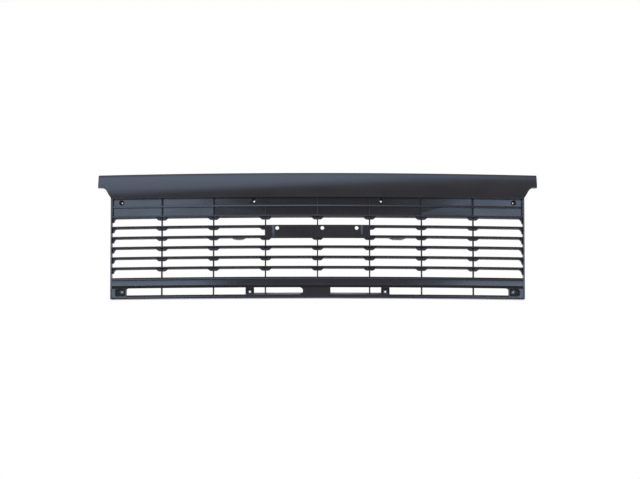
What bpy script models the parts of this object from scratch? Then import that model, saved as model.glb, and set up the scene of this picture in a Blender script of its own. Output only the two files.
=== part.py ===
"""Front grille of a light cab-over truck.

Metres, +Z up, +X to the viewer's right, the front toward -Y. The grille is bowed in plan: its middle stands
forward of its ends. Lengths marked "depth" run back from the bowed front, which the louvre noses follow, and
heights run up from the bottom edge. When everything is made, the whole grille is moved so that the centre of
its bounding box lies on the origin.
"""

import math

import bmesh
import bpy
from mathutils import Matrix, Vector

MM = 0.001
GAP = 0.3 * MM

# Overall size
EAR_HALF = 550 * MM
BODY_HALF = 517 * MM
HEIGHT = 314 * MM
BOW_SETBACK = 50 * MM
WALL = 3 * MM

# Bays and the bow: each bay is two flat facets
BAYS = 8
BAY = 2 * BODY_HALF / BAYS
FACET = BAY / 2
BOW_RADIUS = (BODY_HALF**2 + BOW_SETBACK**2) / (2 * BOW_SETBACK)

# Side cheeks
CHEEK_WALL = 3.5 * MM
CHEEK_DEPTH = 34 * MM
CHEEK_CORNER = 1.5 * MM
INNER_HALF = BODY_HALF - CHEEK_WALL - GAP

# Top moulding
MOULDING_BOTTOM = 250 * MM
MOULDING_FRONT = -6 * MM
MOULDING_BACK = 40 * MM
MOULDING_FLANGE = 13 * MM
FOOT_CHAMFER = 0.6 * MM
CROWN_LOW = 6
CROWN_HIGH = 42
EDGE_RADIUS = 4 * MM
EAR_BOTTOM = 280.5 * MM
EAR_FLAT = 15 * MM
EAR_CORNER = 4 * MM
LOW_SINE = math.sin(math.radians(CROWN_LOW))
LOW_COSINE = math.cos(math.radians(CROWN_LOW))
HIGH_SINE = math.sin(math.radians(CROWN_HIGH))
CROWN_FOOT = MOULDING_BOTTOM + FOOT_CHAMFER
CROWN_RADIUS = (HEIGHT - EDGE_RADIUS * (1 - HIGH_SINE) - CROWN_FOOT) / (HIGH_SINE - LOW_SINE)
CROWN_AXIS = CROWN_FOOT - CROWN_RADIUS * LOW_SINE

# Louvres: the first lies in front of the closed panel, the second along its lower edge, the rest are open
LOUVRES = 7
LOUVRE_PITCH = 25.5 * MM
LOWEST_LOUVRE = 77.7 * MM
LOUVRE_DEPTH = 22 * MM
LOUVRE_NOSE = 2.4 * MM
LOUVRE_TAIL_TOP = -0.9 * MM
LOUVRE_TAIL_BOTTOM = -4 * MM
RIDGE_HEIGHT = 230 * MM
RIDGE_DEPTH = 9.4 * MM
RIDGE_NOSE = 1.8 * MM

# Gussets under a louvre on both sides of each mullion, and the fillets at its ends
GUSSET_TOP_HALF = 15.5 * MM
GUSSET_FOOT_HALF = 7.5 * MM
GUSSET_DROP = 8.6 * MM
GUSSET_FRONT = 6 * MM
GUSSET_BACK = 21.5 * MM
FILLET_REACH = 15 * MM
FILLET_FOOT = 5 * MM
FILLET_DROP = 13 * MM
BURIED = 1.5 * MM

# Mullions
MULLION_WALL = 3.2 * MM
MULLION_FRONT = 4 * MM
MULLION_BACK = 28 * MM
MULLION_FOOT = 3.3 * MM
SLOT_BACK = 22.8 * MM
BRIDGE_HEIGHT = 7 * MM

# Closed upper panel
PANEL_FRONT = 10 * MM
PANEL_WALL = 2.5 * MM
PANEL_BOTTOM = 206.4 * MM

# Lower rail, slot row and sill
RAIL_TOP = 52.9 * MM
RAIL_BOTTOM = 26.3 * MM
RAIL_BULGE = 2 * MM
RAIL_BACK = 3.4 * MM
SILL_TOP = 9.2 * MM
SILL_DEPTH = 34 * MM
BLOCK_LEFT = -36.5 * MM
BLOCK_RIGHT = 32 * MM
BLOCK_FRONT = 0.5 * MM
SLOT_END_RADIUS = 8.1 * MM

# Fixing pockets of the slot row
POCKET_DEPTH = 22 * MM
POCKET_FLOOR = 16.5 * MM
POCKET_RIM = 2 * MM
SEAT_RADIUS = 6.5 * MM
SEAT_DEPTH = 25 * MM
SCREW_RADIUS = 2.75 * MM
CORNER_OPENING = 476 * MM
CORNER_LOW = 4.5 * MM
CORNER_MARGIN = 8 * MM
CORNER_FILLET = 8 * MM
CORNER_HOLE = (488 * MM, 18.5 * MM)
BRACKET_INSIDE = 157.5 * MM
BRACKET_OUTSIDE = 178.5 * MM
BRACKET_HOLE = (168 * MM, 17 * MM)

# Screw cups of the upper panel: distance from the middle, cup radius
CUP_HEIGHT = 241.8 * MM
OUTER_CUP = (490 * MM, 6.5 * MM)
INNER_CUP = (158 * MM, 7 * MM)
CUP_FRONT = 8.6 * MM
CUP_FLOOR = 13.5 * MM
CUP_NECK_RADIUS = 6 * MM
CUP_SEAT = 24 * MM
CUP_PIVOT = PANEL_FRONT + PANEL_WALL / 2
CUP_STEPS = 16

# Badge plate
PLATE_HALF = 130 * MM
PLATE_BOTTOM = 148.8 * MM
PLATE_TOP = 181.8 * MM
PLATE_FRONT = -1.5 * MM
PLATE_BACK = 1 * MM
PLATE_STEP = 1 * MM
PLATE_STEP_FROM = 111 * MM
PLATE_STEP_SILL = 161 * MM
PLATE_HOLES = (-100 * MM, 12 * MM, 97 * MM)
PLATE_HOLE_HEIGHT = 173.8 * MM
PLATE_HOLE_RADIUS = 4.5 * MM
PLATE_RELIEF = 8 * MM

# Grey tabs and support strips
TAB_BOTTOM = 146 * MM
TAB_TOP = 157.5 * MM
TAB_WALL = 2 * MM
STRIP_TOP = 15.5 * MM
STRIP_WALL = 2 * MM

# Spring retainers in the lower pockets
RETAINER_HALF = 5.5 * MM
RETAINER_WALL = 0.8 * MM
RETAINER_WING = 5 * MM
RETAINER_HALF_HEIGHT = 4 * MM
CORNER_CLIP_HOLE = 1.1 * MM
BRACKET_CLIP_HOLE = SCREW_RADIUS + 0.3 * MM

MERGE = 0.000001
BLACK = (0.033, 0.036, 0.042, 1)
CHARCOAL = (0.026, 0.027, 0.031, 1)
GREY = (0.16, 0.165, 0.175, 1)
STEEL = (0.30, 0.30, 0.31, 1)


def arc_setback(x):
    return BOW_RADIUS - math.sqrt(BOW_RADIUS**2 - x * x)


def setback(x):
    """How far the bowed front lies behind its middle at x, straight across each facet."""
    facet = math.floor(abs(x) / FACET)
    part = abs(x) / FACET - facet
    return (1 - part) * arc_setback(facet * FACET) + part * arc_setback((facet + 1) * FACET)


def louvre_height(number):
    return LOWEST_LOUVRE + (LOUVRES - number) * LOUVRE_PITCH


def mullion_places():
    return [(i - BAYS // 2) * BAY for i in range(1, BAYS)]


def clear_scene():
    for ob in list(bpy.data.objects):
        bpy.data.objects.remove(ob, do_unlink=True)


def make_collection(name):
    made = bpy.data.collections.new(name)
    bpy.context.scene.collection.children.link(made)
    return made


def make_material(name, colour, roughness, metallic=0.0):
    made = bpy.data.materials.new(name)
    made.use_nodes = True
    shader = made.node_tree.nodes["Principled BSDF"]
    shader.inputs["Base Color"].default_value = colour
    shader.inputs["Roughness"].default_value = roughness
    shader.inputs["Metallic"].default_value = metallic
    made.diffuse_color = colour
    return made


def finished_mesh(ob):
    """The object's mesh with its modifiers applied and its seams welded."""
    bpy.context.view_layer.update()
    graph = bpy.context.evaluated_depsgraph_get()
    mesh = bpy.data.meshes.new_from_object(ob.evaluated_get(graph))
    bm = bmesh.new()
    bm.from_mesh(mesh)
    bmesh.ops.remove_doubles(bm, verts=bm.verts, dist=MERGE)
    bmesh.ops.recalc_face_normals(bm, faces=bm.faces)
    bm.to_mesh(mesh)
    bm.free()
    return mesh


def prism(outline, axis, start, end):
    """A flat outline pushed along one axis. It is given as (y, z) along X and as (x, z) along Y."""
    curve = bpy.data.curves.new("outline", "CURVE")
    curve.dimensions = "2D"
    curve.fill_mode = "BOTH"
    curve.extrude = (end - start) / 2
    spline = curve.splines.new("POLY")
    spline.points.add(len(outline) - 1)
    for point, (across, up) in zip(spline.points, outline):
        point.co = (across, up, 0, 1)
    spline.use_cyclic_u = True
    drawn = bpy.data.objects.new("outline", curve)
    bpy.context.scene.collection.objects.link(drawn)
    mesh = finished_mesh(drawn)
    bpy.data.objects.remove(drawn)
    middle = (start + end) / 2
    if axis == "X":
        turn = Matrix(((0, 0, 1, middle), (1, 0, 0, 0), (0, 1, 0, 0), (0, 0, 0, 1)))
    else:
        turn = Matrix(((1, 0, 0, 0), (0, 0, -1, middle), (0, 1, 0, 0), (0, 0, 0, 1)))
    mesh.transform(turn)
    return mesh


def box(x0, x1, y0, y1, z0, z1):
    bm = bmesh.new()
    bmesh.ops.create_cube(bm, size=1)
    for vert in bm.verts:
        vert.co.x = x1 if vert.co.x > 0 else x0
        vert.co.y = y1 if vert.co.y > 0 else y0
        vert.co.z = z1 if vert.co.z > 0 else z0
    mesh = bpy.data.meshes.new("box")
    bm.to_mesh(mesh)
    bm.free()
    return mesh


def rod(x, z, radius, y0, y1, segments=16):
    """A cylinder along Y."""
    bm = bmesh.new()
    bmesh.ops.create_cone(
        bm,
        cap_ends=True,
        segments=segments,
        radius1=radius,
        radius2=radius,
        depth=y1 - y0,
        matrix=Matrix.Translation((x, (y0 + y1) / 2, z)) @ Matrix.Rotation(math.pi / 2, 4, "X"),
    )
    mesh = bpy.data.meshes.new("rod")
    bm.to_mesh(mesh)
    bm.free()
    return mesh


def bowed(mesh):
    """Cuts the mesh along the facet lines and moves every point back by the bow."""
    bm = bmesh.new()
    bm.from_mesh(mesh)
    low = min(vert.co.x for vert in bm.verts)
    high = max(vert.co.x for vert in bm.verts)
    for line in range(-BAYS, BAYS + 1):
        x = line * FACET
        if low < x - MERGE and x + MERGE < high:
            everything = bm.verts[:] + bm.edges[:] + bm.faces[:]
            bmesh.ops.bisect_plane(bm, geom=everything, plane_co=(x, 0, 0), plane_no=(1, 0, 0), dist=MERGE)
    for vert in bm.verts:
        vert.co.y += setback(vert.co.x)
    bm.to_mesh(mesh)
    bm.free()
    return mesh


def gathered(meshes):
    """Several closed meshes in one, as a single cutter or a single thing to join on."""
    bm = bmesh.new()
    for mesh in meshes:
        bm.from_mesh(mesh)
    together = bpy.data.meshes.new("gathered")
    bm.to_mesh(together)
    bm.free()
    return together


def combined(mesh, operation, others, cutters):
    """The mesh after one Boolean with all the other meshes together."""
    target = bpy.data.objects.new("target", mesh)
    tool = bpy.data.objects.new("tool", gathered(others))
    tool.hide_render = True
    tool.display_type = "WIRE"
    cutters.objects.link(target)
    cutters.objects.link(tool)
    step = target.modifiers.new("step", "BOOLEAN")
    step.operation = operation
    step.object = tool
    result = finished_mesh(target)
    bpy.data.objects.remove(target)
    bpy.data.objects.remove(tool)
    return result


def cut(mesh, others, cutters):
    return combined(mesh, "DIFFERENCE", others, cutters)


def join(mesh, others, cutters):
    return combined(mesh, "UNION", others, cutters)


def add_part(name, mesh, material, parts, place=(0, 0, 0)):
    if not mesh.materials:
        mesh.materials.append(material)
    mesh.materials[0] = material
    ob = bpy.data.objects.new(name, mesh)
    ob.location = place
    parts.objects.link(ob)
    return ob


def arc(centre, radius, start, end, steps):
    """Points along an arc, with angles in degrees."""
    points = []
    for step in range(steps + 1):
        angle = math.radians(start + (end - start) * step / steps)
        points.append((centre[0] + radius * math.cos(angle), centre[1] + radius * math.sin(angle)))
    return points


def mirrored(outline):
    return [(-across, up) for across, up in reversed(outline)]


def crown_outline(inset):
    """The front of the top moulding from its foot to its top edge, with an inset toward the inside."""
    centre = (MOULDING_FRONT + CROWN_RADIUS * LOW_COSINE, CROWN_AXIS)
    rise = MOULDING_BOTTOM + max(inset, FOOT_CHAMFER) - CROWN_AXIS
    low = math.degrees(math.asin(rise / (CROWN_RADIUS - inset)))
    sweep = arc(centre, CROWN_RADIUS - inset, 180 - low, 180 - CROWN_HIGH, 8)
    reach = CROWN_RADIUS - EDGE_RADIUS
    high = math.radians(CROWN_HIGH)
    edge_centre = (centre[0] - reach * math.cos(high), centre[1] + reach * math.sin(high))
    edge = arc(edge_centre, EDGE_RADIUS - inset, 180 - CROWN_HIGH, 90, 2)
    return sweep + edge[1:]


def ear_outline(inset):
    """What is taken away under an ear: the sweep from the body's side out to the ear's flat underside."""
    side = BODY_HALF - inset
    flat = EAR_BOTTOM + inset
    sweep = [
        (side, MOULDING_BOTTOM - 20 * MM),
        (side, MOULDING_BOTTOM + 4 * MM + inset),
        (side + 6.5 * MM, MOULDING_BOTTOM + 13.5 * MM + inset),
        (side + 12 * MM, MOULDING_BOTTOM + 23 * MM + inset),
        (side + 16 * MM, MOULDING_BOTTOM + 28 * MM + inset / 2),
        (EAR_HALF - EAR_FLAT + 2 * MM, flat),
    ]
    beyond = EAR_HALF + 20 * MM
    low = MOULDING_BOTTOM - 20 * MM
    if inset:
        return sweep + [(beyond, flat), (beyond, low)]
    corner = [
        (EAR_HALF - EAR_CORNER, flat),
        (EAR_HALF - 1 * MM, flat + 1 * MM),
        (EAR_HALF, flat + EAR_CORNER),
    ]
    return sweep + corner + [(beyond, flat + EAR_CORNER), (beyond, low)]


def make_top_moulding(parts, cutters, material):
    foot = MOULDING_BOTTOM
    face = crown_outline(0)
    solid = [(MOULDING_FLANGE, foot), (face[0][0] + FOOT_CHAMFER, foot)] + face
    solid += [(MOULDING_BACK, HEIGHT - 1 * MM)]
    shell = bowed(prism(solid, "X", -EAR_HALF, EAR_HALF))

    behind = MOULDING_BACK + 10 * MM
    hollow = [(behind, foot + WALL)] + crown_outline(WALL) + [(behind, HEIGHT - 1.4 * MM - WALL)]
    cavity = bowed(prism(hollow, "X", WALL - EAR_HALF, EAR_HALF - WALL))
    kept = ear_outline(WALL)
    reach = (-40 * MM, 160 * MM)
    keepers = [prism(kept, "Y", *reach), prism(mirrored(kept), "Y", *reach)]
    cavity = cut(cavity, keepers, cutters)

    away = ear_outline(0)
    shell = cut(shell, [prism(away, "Y", *reach), prism(mirrored(away), "Y", *reach)], cutters)
    shell = cut(shell, [cavity], cutters)
    add_part("top_moulding", shell, material, parts)


def cup_places():
    return [(side * place, radius) for side in (-1, 1) for place, radius in (OUTER_CUP, INNER_CUP)]


def lean(x):
    """How far a cup at x turns about Z to stand square to the bowed panel."""
    return math.asin(x / BOW_RADIUS)


def make_upper_panel(parts, cutters, material):
    back = PANEL_FRONT + PANEL_WALL
    top = MOULDING_BOTTOM - GAP
    outline = [(PANEL_FRONT, PANEL_BOTTOM), (back, PANEL_BOTTOM), (back, top), (PANEL_FRONT, top)]
    panel = bowed(prism(outline, "X", -INNER_HALF, INNER_HALF))
    half = MULLION_WALL / 2 + GAP
    notch_top = PANEL_BOTTOM + BRIDGE_HEIGHT + 1.5 * MM
    tools = []
    for x in mullion_places():
        y = setback(x)
        tools.append(box(x - half, x + half, y, y + 40 * MM, PANEL_BOTTOM - 5 * MM, notch_top))
    for x, radius in cup_places():
        y = setback(x)
        tool = rod(0, CUP_HEIGHT, radius + GAP, -15 * MM, 15 * MM, 2 * CUP_STEPS)
        tool.transform(Matrix.Translation((x, y + CUP_PIVOT, 0)) @ Matrix.Rotation(lean(x), 4, "Z"))
        tools.append(tool)
    add_part("upper_panel", cut(panel, tools, cutters), material, parts)


def gusset(x, side):
    """One half of a gusset, on one side of the mullion at x."""
    start = MULLION_WALL / 2 + GAP
    outline = [
        (start, -BURIED),
        (GUSSET_TOP_HALF + 1 * MM, -BURIED),
        (GUSSET_TOP_HALF, -4.4 * MM),
        (GUSSET_FOOT_HALF, -GUSSET_DROP),
        (start, -GUSSET_DROP),
    ]
    if side < 0:
        outline = mirrored(outline)
    moved = [(x + across, up) for across, up in outline]
    return bowed(prism(moved, "Y", GUSSET_FRONT, GUSSET_BACK))


def end_fillet(side):
    """The curved fillet between a louvre's underside and the cheek."""
    end = INNER_HALF - 0.2 * MM
    round_radius = FILLET_REACH - FILLET_FOOT
    centre = (end - FILLET_REACH, -2.5 * MM - round_radius)
    outline = [(end, -FILLET_DROP), (end, -BURIED), (end - FILLET_REACH, -BURIED)]
    outline += arc(centre, round_radius, 90, 0, 3)
    outline += [(end - FILLET_FOOT, -FILLET_DROP)]
    if side < 0:
        outline = mirrored(outline)
    return bowed(prism(outline, "Y", GUSSET_FRONT, GUSSET_BACK))


def louvre_bar():
    outline = [
        (0, -LOUVRE_NOSE / 2),
        (LOUVRE_NOSE / 2, -LOUVRE_NOSE),
        (LOUVRE_DEPTH, LOUVRE_TAIL_BOTTOM),
        (LOUVRE_DEPTH, LOUVRE_TAIL_TOP),
        (LOUVRE_NOSE / 2, LOUVRE_NOSE),
        (0, LOUVRE_NOSE / 2),
    ]
    return bowed(prism(outline, "X", -INNER_HALF, INNER_HALF))


def make_ridge(parts, cutters, material):
    """The shallow first louvre, notched from behind where the mullions pass."""
    outline = [
        (0, -RIDGE_NOSE / 2),
        (RIDGE_NOSE / 2, -RIDGE_NOSE),
        (RIDGE_DEPTH, -RIDGE_NOSE),
        (RIDGE_DEPTH, RIDGE_NOSE),
        (RIDGE_NOSE / 2, RIDGE_NOSE),
        (0, RIDGE_NOSE / 2),
    ]
    ridge = bowed(prism(outline, "X", -INNER_HALF, INNER_HALF))
    half = MULLION_WALL / 2 + GAP
    notches = []
    for x in mullion_places():
        y = setback(x)
        front = y + MULLION_FRONT - 0.6 * MM
        notches.append(box(x - half, x + half, front, y + 20 * MM, -5 * MM, 5 * MM))
    add_part("louvre_1", cut(ridge, notches, cutters), material, parts, (0, 0, RIDGE_HEIGHT))


def make_louvres(parts, cutters, material):
    """Louvres 2 to 7. Louvres 3 and 4 are rebated for the badge plate, and 3 is cut back behind it."""
    fillets = [end_fillet(-1), end_fillet(1)]
    gussets = {(x, side): gusset(x, side) for x in mullion_places() for side in (-1, 1)}
    plain = join(louvre_bar(), fillets + list(gussets.values()), cutters)
    for number in (2, 5, 6, 7):
        add_part(f"louvre_{number}", plain, material, parts, (0, 0, louvre_height(number)))

    edge = PLATE_HALF + GAP
    rebate = bowed(box(-edge, edge, -5 * MM, PLATE_BACK + GAP, -8 * MM, 8 * MM))
    fourth = cut(plain, [rebate], cutters)
    add_part("louvre_4", fourth, material, parts, (0, 0, louvre_height(4)))

    outside = [shape for (x, side), shape in gussets.items() if abs(x + side * MM) > PLATE_HALF - 1.5 * MM]
    third = join(louvre_bar(), fillets + outside, cutters)
    inside = BAY - MULLION_WALL / 2 - GAP
    behind = bowed(box(-inside, inside, PLATE_RELIEF, 40 * MM, -8 * MM, 8 * MM))
    beneath = bowed(box(-inside, inside, -5 * MM, 40 * MM, -8 * MM, 0))
    for tool in (rebate, behind, beneath):
        third = cut(third, [tool], cutters)
    add_part("louvre_3", third, material, parts, (0, 0, louvre_height(3)))


def make_mullions(parts, material):
    """Seven combs, slotted from the front for the louvres, with a thin fin in front of the closed panel."""
    top = MOULDING_BOTTOM - GAP
    bridge = PANEL_BOTTOM + BRIDGE_HEIGHT
    fin_back = PANEL_FRONT - 0.6 * MM
    outline = [(MULLION_FRONT, MULLION_FOOT), (MULLION_BACK, MULLION_FOOT), (MULLION_BACK, bridge)]
    outline += [(fin_back, bridge), (fin_back, top), (MULLION_FRONT, top)]
    for number in range(2, LOUVRES + 1):
        upper = louvre_height(number) + LOUVRE_NOSE + GAP
        lower = louvre_height(number) + LOUVRE_TAIL_BOTTOM - 0.4 * MM
        outline += [(MULLION_FRONT, upper), (SLOT_BACK, upper), (SLOT_BACK, lower), (MULLION_FRONT, lower)]
    mesh = prism(outline, "X", -MULLION_WALL / 2, MULLION_WALL / 2)
    for number, x in enumerate(mullion_places(), start=1):
        add_part(f"mullion_{number}", mesh, material, parts, (x, setback(x), 0))


def make_cheeks(parts, material):
    for side, word in ((-1, "left"), (1, "right")):
        outline = [
            (side * (BODY_HALF - CHEEK_WALL), 0),
            (side * (BODY_HALF - CHEEK_CORNER), 0),
            (side * BODY_HALF, CHEEK_CORNER),
            (side * BODY_HALF, MOULDING_BOTTOM - GAP),
            (side * (BODY_HALF - CHEEK_WALL), MOULDING_BOTTOM - GAP),
        ]
        cheek = bowed(prism(outline, "Y", -0.5 * MM, CHEEK_DEPTH))
        add_part(f"side_cheek_{word}", cheek, material, parts)


def make_lower_rail(parts, material):
    """A C section: a lip, a convex face and an undercut lip."""
    middle = (RAIL_TOP + RAIL_BOTTOM) / 2
    half = (RAIL_TOP - RAIL_BOTTOM) / 2
    lip = 2.8 * MM
    chord = half - lip
    radius = (chord**2 + RAIL_BULGE**2) / (2 * RAIL_BULGE)
    reach = math.degrees(math.asin(chord / radius))
    centre = (radius - RAIL_BULGE, middle)
    face = arc(centre, radius, 180 + reach, 180 - reach, 6)
    inner = arc(centre, radius - 2.2 * MM, 180 - reach, 180 + reach, 4)
    inner_half = half - 2.2 * MM
    outline = [(RAIL_BACK, RAIL_BOTTOM), (0, RAIL_BOTTOM)] + face + [(0, RAIL_TOP), (RAIL_BACK, RAIL_TOP)]
    outline += [(RAIL_BACK, middle + inner_half)] + inner + [(RAIL_BACK, middle - inner_half)]
    add_part("lower_rail", bowed(prism(outline, "X", -INNER_HALF, INNER_HALF)), material, parts)


def make_bottom_sill(parts, cutters, material):
    """An L section with a tall front wall, notched at both ends for the corner pockets."""
    outline = [
        (SILL_DEPTH, 0),
        (1.5 * MM, 0),
        (0, 1.5 * MM),
        (-0.5 * MM, SILL_TOP / 2),
        (0, SILL_TOP),
        (WALL, SILL_TOP),
        (WALL, WALL),
        (SILL_DEPTH, WALL),
    ]
    sill = bowed(prism(outline, "X", -INNER_HALF, INNER_HALF))
    notches = []
    for side in (-1, 1):
        left, right = sorted((side * (CORNER_OPENING - GAP), side * (BODY_HALF + 10 * MM)))
        notches.append(bowed(box(left, right, -5 * MM, WALL + 2 * MM, CORNER_LOW - GAP, SILL_TOP + 5 * MM)))
    add_part("bottom_sill", cut(sill, notches, cutters), material, parts)


def make_centre_block(parts, material):
    """The closed middle of the slot row. Its left end forms the round end of the slot beside it."""
    low = SILL_TOP + GAP
    high = RAIL_BOTTOM - GAP
    middle = (low + high) / 2
    end = arc((BLOCK_LEFT - SLOT_END_RADIUS, middle), SLOT_END_RADIUS, -90, 90, 6)
    outline = [(BLOCK_RIGHT, low), (BLOCK_RIGHT, high), (BLOCK_LEFT - SLOT_END_RADIUS, high)]
    outline += [(x, min(max(z, low + 0.1 * MM), high - 0.1 * MM)) for x, z in reversed(end)]
    outline += [(BLOCK_LEFT - SLOT_END_RADIUS, low)]
    add_part("centre_block", bowed(prism(outline, "Y", BLOCK_FRONT, RAIL_BACK)), material, parts)


def corner_fillet(inside, high, side):
    """The rounded upper outer corner of the last slot."""
    start = inside - CORNER_FILLET
    outline = [(inside + 1 * MM, high), (start, high)]
    outline += arc((start, high - CORNER_FILLET), CORNER_FILLET, 84, 0, 5)
    outline += [(inside + 1 * MM, high - CORNER_FILLET)]
    if side < 0:
        outline = mirrored(outline)
    return bowed(prism(outline, "Y", BLOCK_FRONT + 0.1 * MM, RAIL_BACK))


def make_pocket(name, inside, outside, low, hole, side, parts, cutters, material):
    """A block of the slot row with a deep recess, a flat seat behind and a screw hole."""
    high = RAIL_BOTTOM - GAP
    ends = sorted((side * inside, side * outside))
    outline = [(BLOCK_FRONT, low), (POCKET_DEPTH, low), (POCKET_DEPTH, high), (BLOCK_FRONT, high)]
    block = bowed(prism(outline, "X", *ends))
    x = side * hole[0]
    y = setback(x)
    block = join(block, [rod(x, hole[1], SEAT_RADIUS, y + POCKET_FLOOR + 1 * MM, y + SEAT_DEPTH)], cutters)
    left, right = ends[0] + POCKET_RIM, ends[1] - POCKET_RIM
    if outside > INNER_HALF - 1 * MM:
        left, right = sorted((side * (inside + POCKET_RIM), side * (outside - CORNER_MARGIN)))
        block = join(block, [corner_fillet(inside, high, side)], cutters)
    recess = box(left, right, y - 30 * MM, y + POCKET_FLOOR, low + POCKET_RIM, high - POCKET_RIM)
    block = cut(block, [recess], cutters)
    block = cut(block, [rod(x, hole[1], SCREW_RADIUS, y, y + 40 * MM)], cutters)
    add_part(name, block, material, parts)


def make_pockets(parts, cutters, material):
    for side, word in ((-1, "left"), (1, "right")):
        corner = (CORNER_OPENING, INNER_HALF, CORNER_LOW, CORNER_HOLE, side)
        make_pocket(f"corner_pocket_{word}", *corner, parts, cutters, material)
        bracket = (BRACKET_INSIDE, BRACKET_OUTSIDE, SILL_TOP + GAP, BRACKET_HOLE, side)
        make_pocket(f"slot_bracket_{word}", *bracket, parts, cutters, material)


def make_retainers(parts, cutters, material):
    """Folded spring plates in the lower pockets. The corner ones grip a stud, so their holes are small."""
    kinds = ((CORNER_HOLE, CORNER_CLIP_HOLE), (BRACKET_HOLE, BRACKET_CLIP_HOLE))
    places = [(side * x, z, hole) for side in (-1, 1) for (x, z), hole in kinds]
    back = POCKET_FLOOR - GAP
    front = back - RETAINER_WALL
    tip = front - RETAINER_WING
    inner = RETAINER_HALF - RETAINER_WALL
    for number, (x, z, hole) in enumerate(sorted(places), start=1):
        low = SILL_TOP + GAP + POCKET_RIM + GAP
        base = max(z - RETAINER_HALF_HEIGHT, low)
        top = z + RETAINER_HALF_HEIGHT
        plate = box(-RETAINER_HALF, RETAINER_HALF, tip, back, base, top)
        channel = box(-inner, inner, tip - 1 * MM, front, base - 1 * MM, top + 1 * MM)
        plate = cut(plate, [channel], cutters)
        plate = cut(plate, [rod(0, z, hole, front - 1 * MM, back + 1 * MM, 12)], cutters)
        add_part(f"screw_retainer_{number}", plate, material, parts, (x, setback(x), 0))


def make_cups(parts, material):
    """Turned cups that line the upper screw holes, square to the panel, with a flat seat at the back."""
    for number, (x, radius) in enumerate(sorted(cup_places()), start=1):
        inner = radius - 1.4 * MM
        neck = min(CUP_NECK_RADIUS, radius - 1 * MM)
        profile = [
            (radius, CUP_FRONT),
            (radius, CUP_FLOOR + 3 * MM),
            (neck, CUP_FLOOR + 3.5 * MM),
            (neck, CUP_SEAT),
            (SCREW_RADIUS, CUP_SEAT),
            (SCREW_RADIUS, CUP_FLOOR),
            (inner, CUP_FLOOR - 0.5 * MM),
            (inner, CUP_FRONT),
        ]
        mesh = bpy.data.meshes.new("cup")
        edges = [(i, (i + 1) % len(profile)) for i in range(len(profile))]
        mesh.from_pydata([(r, 0, CUP_PIVOT - depth) for r, depth in profile], edges, [])
        cup = bpy.data.objects.new("cup", mesh)
        bpy.context.scene.collection.objects.link(cup)
        screw = cup.modifiers.new("turn", "SCREW")
        screw.steps = CUP_STEPS
        screw.render_steps = CUP_STEPS
        screw.use_merge_vertices = True
        screw.merge_threshold = 0.00001
        turned = finished_mesh(cup)
        bpy.data.objects.remove(cup)
        turned.transform(Matrix.Rotation(math.pi / 2, 4, "X"))
        place = (x, setback(x) + CUP_PIVOT, CUP_HEIGHT)
        cup = add_part(f"screw_cup_{number}", turned, material, parts, place)
        cup.rotation_euler.z = lean(x)


def make_badge_plate(parts, cutters, material):
    """A plate flush with the louvre noses, stepped back at its ends, with three badge holes."""
    plate = bowed(box(-PLATE_HALF, PLATE_HALF, PLATE_FRONT, PLATE_BACK, PLATE_BOTTOM, PLATE_TOP))
    stepped = PLATE_FRONT + PLATE_STEP
    ends = []
    for side in (-1, 1):
        left, right = sorted((side * PLATE_STEP_FROM, side * (PLATE_HALF + 5 * MM)))
        ends.append(bowed(box(left, right, -20 * MM, stepped, PLATE_STEP_SILL, PLATE_TOP + 5 * MM)))
    plate = cut(plate, ends, cutters)
    holes = [rod(x, PLATE_HOLE_HEIGHT, PLATE_HOLE_RADIUS, -10 * MM, 20 * MM) for x in PLATE_HOLES]
    add_part("badge_plate", cut(plate, holes, cutters), material, parts)


def make_tabs(parts, material):
    """Half-moon tabs behind the fourth louvre: the left one round, the right one with a flat foot."""
    front = LOUVRE_DEPTH + GAP
    drop = TAB_TOP - TAB_BOTTOM
    left = [(-177 * MM, TAB_TOP)]
    for step in range(9):
        angle = math.pi * step / 8
        across = 18.5 * MM * math.cos(angle)
        left.append((-195.5 * MM + across, TAB_TOP - 4 * MM - (drop - 4 * MM) * math.sin(angle)))
    left.append((-214 * MM, TAB_TOP))
    right = [
        (171 * MM, TAB_TOP),
        (171 * MM, TAB_TOP - 5 * MM),
        (179 * MM, TAB_BOTTOM + 3 * MM),
        (187 * MM, TAB_BOTTOM),
        (209 * MM, TAB_BOTTOM),
        (216 * MM, TAB_BOTTOM + 3 * MM),
        (224 * MM, TAB_TOP - 5 * MM),
        (224 * MM, TAB_TOP),
    ]
    for word, outline in (("left", left), ("right", right)):
        tab = bowed(prism(outline, "Y", front, front + TAB_WALL))
        add_part(f"grey_tab_{word}", tab, material, parts)


def make_support_strips(parts, material):
    """Upright strips on the sill's flange, behind the inner slots."""
    front = MULLION_BACK + 0.6 * MM
    for word, left, right in (
        ("left", -BRACKET_INSIDE, BLOCK_LEFT),
        ("right", BLOCK_RIGHT, BRACKET_INSIDE),
    ):
        strip = bowed(box(left, right, front, front + STRIP_WALL, WALL + GAP, STRIP_TOP))
        add_part(f"support_strip_{word}", strip, material, parts)


def shade(parts):
    for ob in parts.objects:
        ob.data.shade_smooth()
        ob.data.set_sharp_from_angle(angle=math.radians(30))


def centre_on_origin(parts):
    bpy.context.view_layer.update()
    corners = [ob.matrix_world @ Vector(corner) for ob in parts.objects for corner in ob.bound_box]
    low = Vector([min(corner[axis] for corner in corners) for axis in range(3)])
    high = Vector([max(corner[axis] for corner in corners) for axis in range(3)])
    for ob in parts.objects:
        ob.location -= (low + high) / 2


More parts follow.
